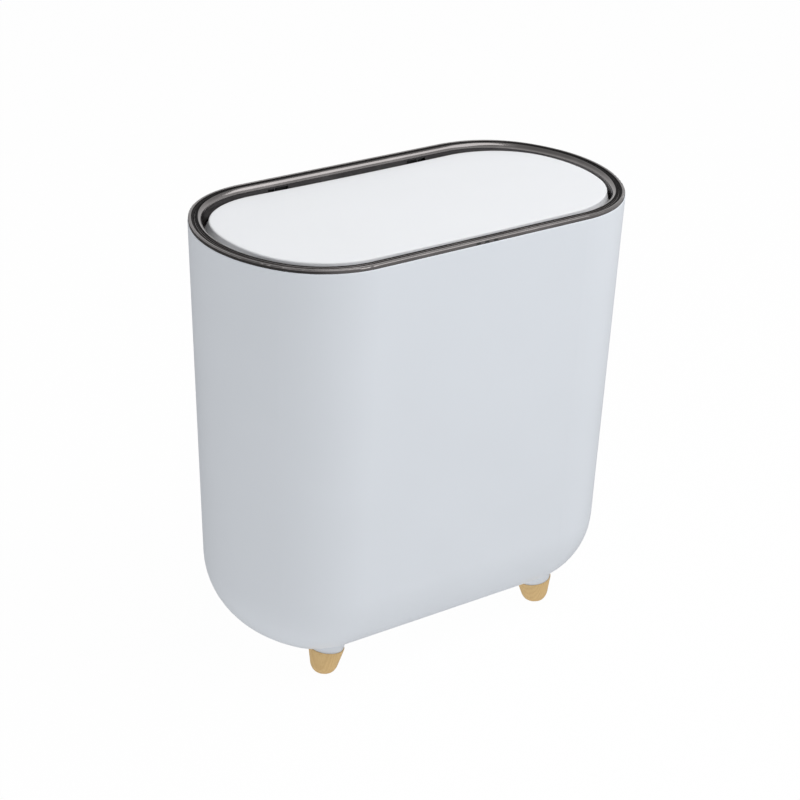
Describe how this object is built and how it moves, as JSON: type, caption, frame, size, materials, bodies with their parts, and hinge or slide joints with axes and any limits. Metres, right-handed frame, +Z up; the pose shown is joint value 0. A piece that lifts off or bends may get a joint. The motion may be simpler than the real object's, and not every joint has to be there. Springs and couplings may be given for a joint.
{
  "type": "bathroom bin",
  "caption": "Slim oval bathroom bin with a press-open hinged lid in a dark rim ring, a lift-out ring for the bag, and splayed turned wooden feet.",
  "frame": {"origin": "on the floor, under the middle of the bin", "axes": "+Z up; +X along the length, to the right of a person facing the front; the front with the latch faces -Y and the hinge is at +Y"},
  "size_m": [0.3, 0.163, 0.3011],
  "materials": {
    "body_white": "smooth satin white moulding",
    "lid_white": "smooth satin white moulding",
    "ring_grey": "glossy dark grey",
    "liner_grey": "fine matt texture",
    "wood": "pale turned hardwood, oiled",
    "steel": "bright zinc",
    "spring_steel": "drawn wire",
    "latch_plastic": "matt dark grey",
    "plunger_plastic": "slippery natural plastic",
    "magnet": "nickel plated"
  },
  "bodies": {
    "bin": {"body_shell": "body_white", "foot_front_left": "wood", "foot_front_right": "wood", "foot_back_left": "wood", "foot_back_right": "wood", "foot_screws": "steel"},
    "rim": {"rim_ring": "ring_grey", "latch_housing": "latch_plastic", "latch_cap": "latch_plastic", "latch_screws": "steel", "latch_spring": "spring_steel", "latch_cam_wire": "spring_steel", "hinge_spring_left": "spring_steel", "hinge_spring_right": "spring_steel"},
    "plunger": {"latch_plunger": "plunger_plastic", "latch_magnet": "magnet"},
    "hinge_pins": {"hinge_pin_left": "steel", "hinge_pin_right": "steel"},
    "lid": {"lid_cover": "lid_white", "lid_liner": "liner_grey", "lid_screws": "steel", "striker_plate": "steel", "striker_screws": "steel"}
  },
  "joints": [
    {"name": "ring_lift", "type": "slide", "parent": "bin", "child": "rim", "axis": [0, 0, 1], "range_m": [0, 0.065]},
    {"name": "lid_press", "type": "hinge", "parent": "rim", "child": "hinge_pins", "pos_m": [0, 0.0751, 0.2964], "axis": [-1, 0, 0], "range_deg": [-1.5, 2.2]},
    {"name": "latch_plunge", "type": "slide", "parent": "rim", "child": "plunger", "axis": [0, 0, 1], "range_m": [-0.00355, 0.00515], "stiffness_N_per_m": 500, "springref_m": 0.0017, "deforming": ["latch_spring", "latch_cam_wire"]},
    {"name": "lid_open", "type": "hinge", "parent": "hinge_pins", "child": "lid", "pos_m": [0, 0.0751, 0.2964], "axis": [-1, 0, 0], "range_deg": [0, 88], "deforming": ["hinge_spring_left", "hinge_spring_right"]}
  ],
  "couplings": [
    {"joint": "latch_plunge", "follows": "lid_press", "m_per_rad": 0.1331}
  ]
}
